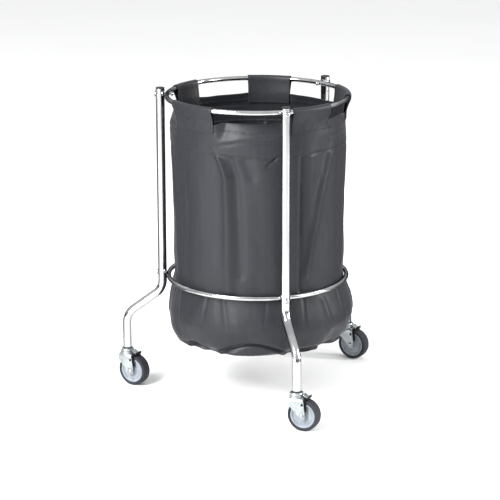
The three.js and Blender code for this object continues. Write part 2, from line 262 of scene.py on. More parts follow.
CHROME = chrome_material("chrome")
CHROME_BOLT = chrome_material("chrome_fastener", 0.06)
ZINC = zinc_material("zinc_steel")
CAP = plastic_material("cap_plastic", (0.012, 0.0125, 0.014), (0.022, 0.023, 0.025), 0.46, spec=0.2)
BLACK = plastic_material("lever_plastic", (0.001, 0.001, 0.0012), (0.003, 0.003, 0.0035), 0.42, spec=0.12)
HUB = plastic_material("hub_plastic", (0.175, 0.197, 0.222), (0.23, 0.256, 0.285), 0.42)
TYRE = tyre_material("tyre_rubber")
FABRIC = fabric_material("bag_fabric")
FABRIC_TAB = fabric_material("bag_fabric_tab", 1.04)
THREAD = plastic_material("thread", (0.022, 0.0225, 0.026), (0.034, 0.035, 0.040), 0.7, 4000, 0.0001, 0.15)


# ---------------------------------------------------------------- mesh makers
def build(name, verts, faces, material, uvs=None, angle=32.0):
    me = bpy.data.meshes.new(name)
    me.from_pydata([tuple(map(float, v)) for v in verts], [], faces)
    me.update()
    if uvs is not None:
        layer = me.uv_layers.new(name="UVMap")
        flat = np.asarray(uvs, dtype=np.float32).reshape(-1)
        layer.data.foreach_set("uv", flat)
    ob = bpy.data.objects.new(name, me)
    scene.collection.objects.link(ob)
    me.materials.append(material)
    smooth(ob, angle)
    return ob


def smooth(ob, angle=32.0):
    bm = bmesh.new()
    bm.from_mesh(ob.data)
    limit = rad(angle)
    for f in bm.faces:
        f.smooth = True
    for e in bm.edges:
        e.smooth = len(e.link_faces) == 2 and e.calc_face_angle(0.0) <= limit
    bm.to_mesh(ob.data)
    bm.free()


def orient(ob):
    bm = bmesh.new()
    bm.from_mesh(ob.data)
    bmesh.ops.remove_doubles(bm, verts=bm.verts, dist=1e-6)
    bmesh.ops.recalc_face_normals(bm, faces=bm.faces)
    bm.to_mesh(ob.data)
    bm.free()


def apply_modifiers(ob):
    dg = bpy.context.evaluated_depsgraph_get()
    me = bpy.data.meshes.new_from_object(ob.evaluated_get(dg), preserve_all_data_layers=True, depsgraph=dg)
    old = ob.data
    ob.modifiers.clear()
    ob.data = me
    bpy.data.meshes.remove(old)


def rounded(points, radius, steps=3):
    """A polygon with every corner cut to a small arc of about this size."""
    out = []
    n = len(points)
    for i, p in enumerate(points):
        p = Vector(p)
        a, b = Vector(points[i - 1]), Vector(points[(i + 1) % n])
        la, lb = (a - p).length, (b - p).length
        da, db = (a - p) / la, (b - p) / lb
        k = min(radius, la * 0.45, lb * 0.45)
        p0, p1 = p + da * k, p + db * k
        for j in range(steps + 1):
            t = j / steps
            q = (1 - t) ** 2 * p0 + 2 * t * (1 - t) * p + t * t * p1
            out.append((q.x, q.y))
    return out


def lathe(name, profile, sides, material, matrix=None, bevel=0.0, angle=32.0, closed=True):
    """A solid turned about local Z from a (radius, z) outline."""
    pts = list(profile)
    verts, faces, rings = [], [], []
    for r, z in pts:
        if r < 1e-7:
            rings.append([len(verts)])
            verts.append((0, 0, z))
        else:
            rings.append(list(range(len(verts), len(verts) + sides)))
            for i in range(sides):
                a = 2 * math.pi * i / sides
                verts.append((r * math.cos(a), r * math.sin(a), z))
    pairs = list(zip(rings, rings[1:] + rings[:1])) if closed else list(zip(rings, rings[1:]))
    for p, q in pairs:
        if len(p) == 1 and len(q) == 1:
            continue
        for i in range(sides):
            j = (i + 1) % sides
            if len(p) == 1:
                faces.append((p[0], q[j], q[i]))
            elif len(q) == 1:
                faces.append((p[i], p[j], q[0]))
            else:
                faces.append((p[i], p[j], q[j], q[i]))
    if matrix is not None:
        verts = [matrix @ Vector(v) for v in verts]
    ob = build(name, verts, faces, material, angle=angle)
    orient(ob)
    smooth(ob, angle)
    return ob


def sweep(name, path, tangents, r_out, r_in, sides, material, side_axis):
    """A hollow tube along a flat path, open at both ends."""
    side = Vector(side_axis).normalized()
    verts, faces = [], []
    rows = len(path)
    for radius in (r_out, r_in):
        for p, t in zip(path, tangents):
            t = Vector(t).normalized()
            nrm = side.cross(t).normalized()
            for i in range(sides):
                a = 2 * math.pi * i / sides
                verts.append(Vector(p) + nrm * (radius * math.cos(a)) + side * (radius * math.sin(a)))
    off = rows * sides
    for k in range(rows - 1):
        for i in range(sides):
            j = (i + 1) % sides
            a, b, c, d = k * sides + i, k * sides + j, (k + 1) * sides + j, (k + 1) * sides + i
            faces.append((a, b, c, d))
            faces.append((off + d, off + c, off + b, off + a))
    for k in (0, rows - 1):
        for i in range(sides):
            j = (i + 1) % sides
            faces.append((k * sides + i, k * sides + j, off + k * sides + j, off + k * sides + i))
    ob = build(name, verts, faces, material)
    orient(ob)
    smooth(ob)
    return ob


def torus(name, R, r, z, major, minor, material):
    verts, faces = [], []
    for i in range(major):
        a = 2 * math.pi * i / major
        for j in range(minor):
            b = 2 * math.pi * j / minor
            q = R + r * math.cos(b)
            verts.append((CX + q * math.cos(a), CY + q * math.sin(a), z + r * math.sin(b)))
    for i in range(major):
        for j in range(minor):
            i2, j2 = (i + 1) % major, (j + 1) % minor
            faces.append((i * minor + j, i2 * minor + j, i2 * minor + j2, i * minor + j2))
    return build(name, verts, faces, material)


def prism(name, outline, y0, y1, material, matrix=None, bevel=0.0, segments=2, angle=32.0):
    """A plate with this (x, z) outline, from y0 to y1, with eased edges."""
    n = len(outline)
    verts = [(x, y0, z) for x, z in outline] + [(x, y1, z) for x, z in outline]
    faces = [tuple(range(n - 1, -1, -1)), tuple(range(n, 2 * n))]
    for i in range(n):
        j = (i + 1) % n
        faces.append((i, j, n + j, n + i))
    ob = build(name, verts, faces, material)
    orient(ob)
    if bevel:
        m = ob.modifiers.new("ease", "BEVEL")
        m.width, m.segments, m.limit_method, m.angle_limit = bevel, segments, "ANGLE", rad(35)
        apply_modifiers(ob)
    if matrix is not None:
        ob.data.transform(matrix)
    smooth(ob, angle)
    return ob


def combine(a, b, operation):
    m = a.modifiers.new("cut", "BOOLEAN")
    m.operation, m.object, m.solver = operation, b, "EXACT"
    apply_modifiers(a)
    me = b.data
    bpy.data.objects.remove(b)
    bpy.data.meshes.remove(me)
    return a


def ease(ob, width, segments=2, angle=40.0):
    m = ob.modifiers.new("ease", "BEVEL")
    m.width, m.segments, m.limit_method, m.angle_limit = width, segments, "ANGLE", rad(angle)
    m.use_clamp_overlap = True
    apply_modifiers(ob)
    smooth(ob, 35)
    return ob


def arc(cx, cz, r, a0, a1, n):
    return [
        (cx + r * math.cos(rad(a0 + (a1 - a0) * i / n)), cz + r * math.sin(rad(a0 + (a1 - a0) * i / n)))
        for i in range(n + 1)
    ]


def put(ob, body, node):
    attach(ob, body)
    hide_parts(node)
    return ob


# ---------------------------------------------------------------- metal frame
def leg_frame(angle):
    """Turns a leg's own axes, +X outwards, into the row frame."""
    return Matrix.Translation((CX, CY, 0)) @ Matrix.Rotation(rad(angle - 90), 4, "Z")


def leg_path(bend_steps):
    slope = math.atan2(FOOT_R - LEG_R, BEND_UP - BEND_LOW)
    reach = BEND_R * math.tan(slope / 2)
    pts, tan = [], []

    def add(x, z, a):
        pts.append((x, 0, z))
        tan.append((math.sin(a), 0, -math.cos(a)))

    z_bend = BEND_UP + reach
    for i in range(9):
        add(LEG_R, LEG_TOP + (z_bend - LEG_TOP) * i / 9, 0)
    for i in range(bend_steps + 1):
        a = slope * i / bend_steps
        add(LEG_R + BEND_R * (1 - math.cos(a)), z_bend - BEND_R * math.sin(a), a)
    z_low = BEND_LOW - reach
    for i in range(bend_steps, -1, -1):
        a = slope * i / bend_steps
        add(FOOT_R - BEND_R * (1 - math.cos(a)), z_low + BEND_R * math.sin(a), a)
    add(FOOT_R, LEG_BOTTOM, 0)
    return pts, tan


def radial(z):
    """Axis along a leg's +X at this height: local Z of a lathe becomes +X."""
    return Matrix.Translation((0, 0, z)) @ Matrix.Rotation(rad(90), 4, "Y")


def screw_piece(name, m, z, tip):
    seat = LEG_R + TUBE_R + 0.0003
    r, h = 0.00675, 0.0036
    head = [(0.003, seat), (r - 0.0002, seat), (r, seat + 0.0003)]
    head += [
        (r * math.cos(rad(t)) ** 0.8, seat + 0.0004 + (h - 0.0004) * math.sin(rad(t)))
        for t in (12, 26, 40, 54, 68)
    ]
    head += [(0, seat + h)]
    shaft = [(0, tip), (0.0023, tip), (0.003, tip + 0.0008)]
    # a plain shank runs between the leg and the ring
    ob = lathe(name, shaft + head, 32, CHROME_BOLT, m @ radial(z), closed=False)
    socket = lathe(
        name + "_socket",
        [(0, seat + h - 0.0022), (0.0023, seat + h - 0.0022), (0.0023, seat + h + 0.002), (0, seat + h + 0.002)],
        6,
        CHROME_BOLT,
        m @ radial(z),
        closed=False,
    )
    combine(ob, socket, "DIFFERENCE")
    return ease(ob, 0.0002, 2, 50)


def cap_nut(name, m, z):
    seat = RING_R - BAR_R - 0.0009
    hexagon = lathe(name, [(0, seat - 0.005), (0.0058, seat - 0.005), (0.0058, seat), (0, seat)], 6, CHROME_BOLT, closed=False)
    cone = lathe(
        name + "_cone",
        [(0, seat - 0.0052), (0.0048, seat - 0.0052), (0.0061, seat - 0.0042), (0.0061, seat - 0.0008), (0.0052, seat + 0.0002), (0, seat + 0.0002)],
        32,
        CHROME_BOLT,
        closed=False,
    )
    combine(hexagon, cone, "INTERSECT")
    dome = lathe(
        name + "_dome",
        [(0, seat - 0.0095)]
        + [(0.0047 * math.sin(rad(t)), seat - 0.0048 - 0.0047 * math.cos(rad(t))) for t in (15, 30, 45, 60, 75, 90)]
        + [(0.0047, seat - 0.004), (0, seat - 0.004)],
        32,
        CHROME_BOLT,
        closed=False,
    )
    combine(hexagon, dome, "UNION")
    hexagon.data.transform(m @ radial(z))
    return ease(hexagon, 0.00015, 2, 45)


def end_cap(name, m):
    t = LEG_TOP
    profile = [
        (0, t - 0.0095),
        (0.0084, t - 0.0095),
        (0.0088, t - 0.008),
        (0.0088, t + 0.0004),
        (0.0110, t + 0.0004),
        (0.0113, t + 0.0007),
        (0.0113, t + 0.0015),
        (0.0110, t + 0.0020),
        (0.0098, t + 0.0026),
        (0.0070, t + 0.0030),
        (0.0040, t + 0.0032),
        (0, t + 0.0032),
    ]
    return lathe(name, profile, 40, CAP, m @ Matrix.Translation((LEG_R, 0, 0)), closed=False)


put(torus("ring_bar", RING_R, BAR_R, RING_Z, 160, 24, CHROME), "frame", "top_ring")
put(torus("hoop_bar", RING_R, BAR_R, HOOP_Z, 160, 24, CHROME), "frame", "lower_hoop")

for leg, (angle, _) in LEGS.items():
    m = leg_frame(angle)
    pts, tan = leg_path(14)
    r3 = m.to_3x3()
    tube = sweep(
        f"{leg}_leg",
        [m @ Vector(p) for p in pts],
        [r3 @ Vector(t) for t in tan],
        TUBE_R,
        TUBE_IN,
        32,
        CHROME,
        r3 @ Vector((0, 1, 0)),
    )
    put(tube, "frame", f"leg_tube_{leg}")
    put(end_cap(f"{leg}_leg_cap", m), "frame", f"leg_cap_{leg}")
    put(screw_piece(f"{leg}_ring_screw", m, RING_Z, RING_R - BAR_R - 0.0056), "frame", f"ring_screw_{leg}")
    put(screw_piece(f"{leg}_hoop_screw", m, HOOP_Z, RING_R - 0.002), "frame", f"hoop_screw_{leg}")
    put(cap_nut(f"{leg}_cap_nut", m, RING_Z), "frame", f"ring_nut_{leg}")


# -------------------------------------------------------------------- casters
# Modelled with the swivel axis at x = y = 0 and the wheel trailing towards +X.
def lay_wheel():
    return Matrix.Translation((TRAIL, 0, WHEEL_R)) @ Matrix.Rotation(rad(90), 4, "X")


def mm(points):
    return [(x / 1000, z / 1000) for x, z in points]


def mirrored(half):
    """A closed wheel outline from its +Z half, listed from bore to bore."""
    return [(r, -z) for r, z in half] + [(r, z) for r, z in reversed(half)]


def wheel_tyre(name):
    half = mm([(32.1, 12.9), (33.0, 13.9), (34.7, 14.5), (36.6, 14.3), (38.1, 13.3), (39.1, 11.8), (39.65, 9.8), (39.88, 7.4), (40.0, 4.2), (40.0, 0.0)])
    return lathe(name, mirrored(half), 96, TYRE, lay_wheel())


def wheel_hub(name):
    half = mm(
        [
            (4.8, 16.3), (6.0, 16.3), (6.5, 15.9), (6.8, 12.6), (7.8, 10.0), (8.8, 9.2), (10.0, 9.0),
            (14.2, 9.2), (14.8, 8.6), (15.8, 8.6), (16.4, 9.3), (23.0, 9.5), (23.6, 8.9), (24.9, 9.1),
            (26.6, 11.0), (27.7, 12.4), (28.6, 12.9), (30.5, 12.9), (31.3, 12.6), (31.7, 11.8),
        ]
    )
    return lathe(name, mirrored(half), 96, HUB, lay_wheel())


def fork(name):
    out, inn, top = FORK_IN + FORK_T, FORK_IN, 0.0845
    section = (
        [(-out, 0.02), (-out, top - 0.007)]
        + arc(-out + 0.007, top - 0.007, 0.007, 180, 90, 8)[1:]
        + arc(out - 0.007, top - 0.007, 0.007, 90, 0, 8)
        + [(out, 0.02), (inn, 0.02), (inn, top - FORK_T - 0.0045)]
        + arc(inn - 0.0045, top - FORK_T - 0.0045, 0.0045, 0, 90, 6)[1:]
        + arc(-inn + 0.0045, top - FORK_T - 0.0045, 0.0045, 90, 180, 6)
        + [(-inn, 0.02)]
    )
    n = len(section)
    x0, x1 = -0.02, 0.04
    verts = [(x0, y, z) for y, z in section] + [(x1, y, z) for y, z in section]
    faces = [tuple(range(n)), tuple(range(2 * n - 1, n - 1, -1))]
    faces += [(i, n + i, n + (i + 1) % n, (i + 1) % n) for i in range(n)]
    ob = build(name, verts, faces, ZINC)
    orient(ob)
    side = mm([(-13.5, 86), (-14.5, 71), (-13.6, 66.5), (-11, 63.0), (7, 43.5)]) + [
        (TRAIL + 0.009 * math.cos(rad(a)), WHEEL_R + 0.009 * math.sin(rad(a))) for a in range(220, 346, 12)
    ] + mm([(27.5, 52.5), (24.5, 76), (22, 86)])
    combine(ob, prism(name + "_side", side, -0.03, 0.03, ZINC), "INTERSECT")
    race = lathe(
        name + "_race",
        mm([(4.8, 82.4), (17.0, 82.4), (17.4, 83.0), (17.4, 86.6), (17.1, 87.6), (16.4, 88.3), (15.6, 88.5), (4.8, 88.5)]),
        64,
        ZINC,
    )
    combine(ob, race, "UNION")
    for x, z, r in ((TRAIL, WHEEL_R, 0.0044), (0.021, 0.070, 0.0021)):
        hole = lathe(name + "_hole", [(0, -0.03), (r, -0.03), (r, 0.03), (0, 0.03)], 24, ZINC,
                     Matrix.Translation((x, 0, z)) @ Matrix.Rotation(rad(90), 4, "X"), closed=False)
        combine(ob, hole, "DIFFERENCE")
    bore = lathe(name + "_bore", [(0, 0.06), (0.0048, 0.06), (0.0048, 0.1), (0, 0.1)], 24, ZINC, closed=False)
    combine(ob, bore, "DIFFERENCE")
    return ease(ob, 0.0004, 2, 50)


def axle_bolt(name):
    h = FORK_IN + FORK_T + 0.0003
    profile = [(0, -h - 0.0034), (0.0022, -h - 0.0033), (0.0042, -h - 0.0028), (0.0058, -h - 0.0018), (0.0066, -h - 0.0006), (0.0066, -h), (0.004, -h)]
    profile += [(0.004, h + 0.0005)]
    z = h + 0.0005
    while z < h + 0.0056:
        profile += [(0.0040, z + 0.0003), (0.0036, z + 0.0006), (0.0040, z + 0.0009)]
        z += 0.0010
    profile += [(0.0032, z + 0.0008), (0, z + 0.0008)]
    m = Matrix.Translation((TRAIL, 0, WHEEL_R)) @ Matrix.Rotation(rad(-90), 4, "X")
    return lathe(name, profile, 36, ZINC, m, closed=False, angle=40)


def axle_nut(name):
    seat = FORK_IN + FORK_T + 0.0003
    m = Matrix.Translation((TRAIL, 0, WHEEL_R)) @ Matrix.Rotation(rad(-90), 4, "X")
    nut = lathe(name, [(0.0044, seat), (0.0075, seat), (0.0075, seat + 0.005), (0.0044, seat + 0.005)], 6, ZINC, m)
    cone = lathe(
        name + "_cone",
        [(0, seat - 0.0003), (0.0068, seat - 0.0003), (0.0077, seat + 0.0006), (0.0077, seat + 0.0042), (0.0066, seat + 0.0053), (0, seat + 0.0053)],
        36, ZINC, m, closed=False,
    )
    combine(nut, cone, "INTERSECT")
    return ease(nut, 0.00015, 2, 45)


def copy_node(name, node, material, width, segments=2):
    """A new piece in a CAD node's exact shape, with its edges eased."""
    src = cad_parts[node]
    me = src.data.copy()
    me.name = name
    ob = bpy.data.objects.new(name, me)
    scene.collection.objects.link(ob)
    me.materials.clear()
    me.materials.append(material)
    while me.uv_layers:
        me.uv_layers.remove(me.uv_layers[0])
    bm = bmesh.new()
    bm.from_mesh(me)
    bmesh.ops.remove_doubles(bm, verts=bm.verts, dist=1e-6)
    bmesh.ops.dissolve_limit(bm, angle_limit=rad(1.5), verts=bm.verts, edges=bm.edges)
    bm.to_mesh(me)
    bm.free()
    return ease(ob, width, segments, 38)


for leg, (angle, trail) in LEGS.items():
    foot = leg_frame(angle) @ Vector((FOOT_R, 0, 0))
    m = Matrix.Translation((foot.x, foot.y, 0)) @ Matrix.Rotation(rad(trail - 90), 4, "Z")
    body = f"caster_{leg}_fork"
    wheel = f"caster_{leg}_wheel"
    brake = f"caster_{leg}_brake"

    def placed(ob):
        ob.data.transform(m)
        return ob

    socket = lathe(
        f"{leg}_socket",
        mm([(5.5, 96.4), (11.2, 96.4), (11.6, 96.8), (11.6, 98.2), (11.3, 98.7), (9.0, 98.7), (9.0, 130), (5.5, 130)]),
        40, CAP,
    )
    put(placed(socket), "frame", f"caster_{leg}_socket")
    stem = lathe(
        f"{leg}_stem",
        mm([(0, 79.0), (4.6, 79.0), (6.0, 79.4), (6.4, 80.0), (6.4, 81.4), (4.2, 81.4), (4.2, 88.6), (5.0, 88.6), (5.0, 125), (4.2, 127), (0, 127)]),
        32, ZINC, closed=False,
    )
    put(placed(stem), "frame", f"caster_{leg}_stem")
    head = lathe(
        f"{leg}_head",
        mm([(5.5, 88.9), (16.2, 88.9), (16.7, 89.2), (16.9, 90.0), (16.8, 92.8), (16.3, 94.2), (15.2, 95.2), (13.6, 95.8), (10.5, 96.0), (5.5, 96.0)]),
        64, ZINC,
    )
    put(placed(head), "frame", f"caster_{leg}_head")
    put(placed(fork(f"{leg}_fork")), body, f"caster_{leg}_fork")
    put(placed(axle_bolt(f"{leg}_axle_bolt")), body, f"caster_{leg}_axle_bolt")
    put(placed(axle_nut(f"{leg}_axle_nut")), body, f"caster_{leg}_axle_nut")
    put(placed(wheel_tyre(f"{leg}_tyre")), wheel, f"caster_{leg}_tyre")
    put(placed(wheel_hub(f"{leg}_hub")), wheel, f"caster_{leg}_hub")
    put(copy_node(f"{leg}_brake_lever", f"caster_{leg}_brake_lever", BLACK, 0.0005), brake, f"caster_{leg}_brake_lever")
    put(copy_node(f"{leg}_brake_plate", f"caster_{leg}_brake_plate", ZINC, 0.0003), brake, f"caster_{leg}_brake_plate")


# ------------------------------------------------------------------------ bag
# Azimuths named "a" are measured from the side that faces the viewer.
FABRIC_T, HEM_T, TAB_T = 0.0013, 0.0022, 0.0016
SEAM_TOP, SEAM_LOW, RIM_Z = 0.705, 0.648, 0.722
COLS = 420


def smoothstep(x):
    x = np.clip(x, 0.0, 1.0)
    return x * x * (3 - 2 * x)


def wrap(a):
    return (np.asarray(a, float) + 180.0) % 360.0 - 180.0


def hermite(x, xs, ys):
    xs, ys = np.array(xs, float), np.array(ys, float)
    m = np.gradient(ys, xs)
    x = np.asarray(x, float)
    i = np.clip(np.searchsorted(xs, x) - 1, 0, len(xs) - 2)
    h = xs[i + 1] - xs[i]
    t = np.clip((x - xs[i]) / h, 0, 1)
    return (
        (2 * t**3 - 3 * t**2 + 1) * ys[i]
        + (t**3 - 2 * t**2 + t) * h * m[i]
        + (3 * t**2 - 2 * t**3) * ys[i + 1]
        + (t**3 - t**2) * h * m[i + 1]
    )


def field(A, Z, sa, sz, seed):
    """Smooth noise about -1 to 1 over the bag's wall: sa cells per metre round it, and sz up it."""
    th = np.radians(A)
    x, y = 0.215 * np.cos(th) * sa, 0.215 * np.sin(th) * sa
    z = Z * sz + seed * 7.31
    flat = [noise.noise(Vector((p, q, s))) for p, q, s in zip(x.ravel(), y.ravel(), z.ravel())]
    return np.array(flat).reshape(A.shape) * 1.6


PROFILE_Z = [0.150, 0.160, 0.172, 0.196, 0.222, 0.250, 0.275, 0.300, 0.360, 0.420, 0.500, 0.600, 0.650, 0.700, 0.730]
PROFILE_R = [0.2060, 0.2190, 0.2268, 0.2315, 0.2325, 0.2275, 0.2205, 0.2148, 0.2150, 0.2145, 0.2150, 0.2165, 0.2175, 0.2180, 0.2172]
SHIFT_Z = [0.147, 0.170, 0.200, 0.222, 0.255, 0.300, 0.360, 0.450, 0.560, 0.730]
SHIFT = [0.004, 0.0050, 0.0080, 0.0088, 0.0070, 0.0040, 0.0035, 0.0030, 0.0020, 0.0]

# The open rim between the tabs: (first azimuth, last, how far it falls in, how much higher it stands)
GAPS = [
    (-28.7, 22.0, 0.0180, 0.006),
    (50.0, 82.3, 0.0110, 0.0),
    (116.0, 157.5, 0.0090, 0.001),
    (186.2, 224.0, 0.0090, 0.0),
    (247.0, 296.5, 0.0100, 0.001),
]


def fold(A, Z, path, width, height, fade=0.02, power=2.0):
    """A ridge, or a valley if height is negative, along a line of (z, a)."""
    path = sorted(path)
    zs = [p[0] for p in path]
    at = np.interp(Z, zs, [p[1] for p in path])
    w = np.interp(Z, zs, width) if hasattr(width, "__len__") else width
    h = np.interp(Z, zs, height) if hasattr(height, "__len__") else height
    d = np.abs(np.radians(wrap(A - at))) * 0.215
    ends = smoothstep((Z - zs[0] + fade) / fade) * smoothstep((zs[-1] + fade - Z) / fade)
    return h * np.exp(-((d / w) ** power)) * ends


def gap_shape(A):
    """How far the rim falls in, its extra height and the height of the crease it turns on."""
    fall, rise = np.zeros_like(A), np.zeros_like(A)
    for a0, a1, f, up in GAPS:
        mid, half = (a0 + a1) / 2, (a1 - a0) / 2
        d = half - np.abs(wrap(A - mid))
        fall += f * smoothstep(d / 7.0)
        rise += up * smoothstep(d / 5.0)
    crease = np.where(
        np.abs(wrap(A - (-3.4))) < 26.5,
        np.interp(wrap(A), [-28.7, -26, -11.5, 13.9, 22], [0.676, 0.678, 0.690, 0.698, 0.700]),
        0.690,
    )
    return fall, rise, crease


def wall_radius(A, Z):
    r = hermite(Z, PROFILE_Z, PROFILE_R)
    # broad waves that hang from the tabs and die out towards the hoop
    hang = smoothstep((Z - 0.34) / 0.25) * smoothstep((0.70 - Z) / 0.05)
    t = np.radians(A)
    r = r + hang * (0.0012 * np.sin(5 * t + 0.6) + 0.0012 * np.sin(9 * t + 2.1) + 0.0007 * np.sin(14 * t + 0.4))
    low = smoothstep((0.60 - Z) / 0.15) * smoothstep((Z - 0.18) / 0.06)
    r = r + low * (0.0008 * np.sin(7 * t + 1.2) + 0.0006 * np.sin(12 * t + 4.0))
    # the folds
    f = fold(A, Z, [(0.666, -29.9), (0.634, -24.3), (0.597, -21.0), (0.31, -21.0)], [0.0165, 0.011, 0.0080, 0.0070], [0.0065, 0.0095, 0.0095, 0.0055], 0.018)
    f += fold(A, Z, [(0.655, -19.0), (0.60, -14.5), (0.36, -12.0)], [0.013, 0.011, 0.009], [-0.0045, -0.0060, -0.0040], 0.03)
    f += fold(A, Z, [(0.655, 28.7), (0.50, 29.2), (0.31, 28.2)], [0.0045, 0.0050, 0.0045], [-0.004, -0.006, -0.005], 0.012, 1.5)
    f += fold(A, Z, [(0.655, 36.0), (0.50, 36.0), (0.33, 35.0)], 0.011, [0.0015, 0.0022, 0.0022], 0.02)
    f += fold(A, Z, [(0.655, 56.0), (0.54, 44.6), (0.35, 32.0)], [0.009, 0.011, 0.011], [0.0050, 0.0078, 0.0065], 0.02)
    f += fold(A, Z, [(0.655, 14.5), (0.630, 5.5)], 0.0045, [-0.005, -0.009], 0.008, 1.4)
    f += fold(A, Z, [(0.642, -8.0), (0.60, -4.0)], 0.014, -0.0035, 0.02)
    f += fold(A, Z, [(0.64, 4.0), (0.45, 7.0), (0.33, 8.0)], 0.020, [0.0015, 0.0024, 0.0018], 0.03)
    # other sides
    for a0, a1, h, w in (
        (78, 70, 0.0042, 0.010), (92, 97, -0.0040, 0.006), (112, 108, 0.0036, 0.012), (133, 128, -0.0034, 0.007),
        (152, 160, 0.0042, 0.011), (174, 170, -0.0036, 0.007), (196, 203, 0.0040, 0.010), (216, 210, -0.0034, 0.006),
        (238, 244, 0.0038, 0.012), (258, 253, -0.0038, 0.007), (283, 291, 0.0038, 0.011), (305, 302, -0.0030, 0.007),
    ):
        f += fold(A, Z, [(0.64, a0), (0.50, (a0 + a1) / 2 + 2), (0.33, a1)], [w, w, w * 0.8], [h * 0.75, h, h * 0.7], 0.03)
    # below the hoop the filled-out base pulls into a few soft pleats
    for a, h in ((44.7, 0.003), (14, 0.002), (-24, 0.002), (-62, 0.003), (-95, 0.002), (92, 0.0026), (120, 0.002), (158, 0.003), (205, 0.0026), (238, 0.002)):
        f += fold(A, Z, [(0.285, a), (0.20, a + 3)], [0.010, 0.007], [h, h * 1.1], 0.02)
    for a in (-36, 4, 30, 62, 108, 140, 180, 222, 250, 286):
        f += fold(A, Z, [(0.288, a), (0.235, a - 2)], [0.004, 0.004], [-0.0012, -0.0022], 0.012)
    body = smoothstep((SEAM_LOW + 0.004 - Z) / 0.01)
    r = r + f * (0.25 + 0.75 * body)
    small = field(A, Z, 9, 7, 1) * 0.0013 + field(A, Z, 24, 15, 2) * 0.0007 + field(A, Z, 60, 34, 3) * 0.00028
    r = r + small * (0.35 + 0.65 * body)
    # the doubled hem, with its two rows of stitching pulled in
    r = r + 0.0010 * smoothstep((Z - SEAM_LOW) / 0.0016)
    for seam, depth in ((SEAM_LOW + 0.0028, 0.0011), (SEAM_TOP, 0.0009)):
        pucker = 1 + 0.35 * np.sin(np.radians(A) * 61 + 3 * np.sin(np.radians(A) * 7))
        r = r - depth * pucker * np.exp(-(((Z - seam) / 0.0019) ** 2))
    return r


def wall_point(A, Z):
    """Points of the bag's outer face in the row frame, from azimuth and height."""
    A, Z = np.asarray(A, float), np.asarray(Z, float)
    r = wall_radius(A, Z)
    fall, rise, crease = gap_shape(A)
    over = np.clip((Z - crease) / (RIM_Z - crease), 0, 1)
    soft = np.where(over < 0.18, over**2 / 0.36, over - 0.09) / 0.91
    r = r - fall * soft - fall * 0.10 * np.exp(-(((Z - crease + 0.004) / 0.006) ** 2))
    Zr = Z + rise * smoothstep((Z - 0.69) / (RIM_Z - 0.69))
    ripple = field(A, Z * 0 + 1.0, 20, 1, 5) * 0.0011 * smoothstep((Z - 0.69) / 0.03)
    Zr = Zr + ripple
    th = np.radians(A)
    x = r * np.sin(th) + hermite(Z, SHIFT_Z, SHIFT)
    y = -r * np.cos(th)
    # it stays inside the hoop, and swells out above and below it
    rho = np.hypot(x, y)
    limit = 0.2184 + np.maximum(0, np.abs(Zr - HOOP_Z) - 0.004) ** 2 / 0.032
    k = np.minimum(1.0, limit / rho)
    x, y = x * k, y * k
    c, s = math.cos(rad(VIEW_AZ)), math.sin(rad(VIEW_AZ))
    return np.stack([CX + x * c - y * s, CY + x * s + y * c, Zr], -1)


# Where the wall's lower edge is drawn up over the slack base: (a, rise, half width)
ARCHES = [
    (-5.0, 0.031, 27.0), (-47.0, 0.014, 12.0), (37.0, 0.011, 13.0), (68.0, 0.013, 16.0),
    (102.0, 0.010, 14.0), (139.0, 0.017, 18.0), (181.0, 0.014, 16.0), (-140.0, 0.016, 18.0), (-100.0, 0.012, 14.0),
]
# How far out the base reaches on the floor side, round the bag
FOOT_A = [-180, -150, -120, -98, -78, -66, -58, -50, -40, -30, -17, 3, 20, 33, 48, 64, 90, 120, 150, 180]
FOOT_B = [0.203, 0.207, 0.204, 0.208, 0.218, 0.2235, 0.2225, 0.213, 0.206, 0.214, 0.220, 0.2115, 0.205, 0.199, 0.200, 0.200, 0.201, 0.204, 0.200, 0.203]


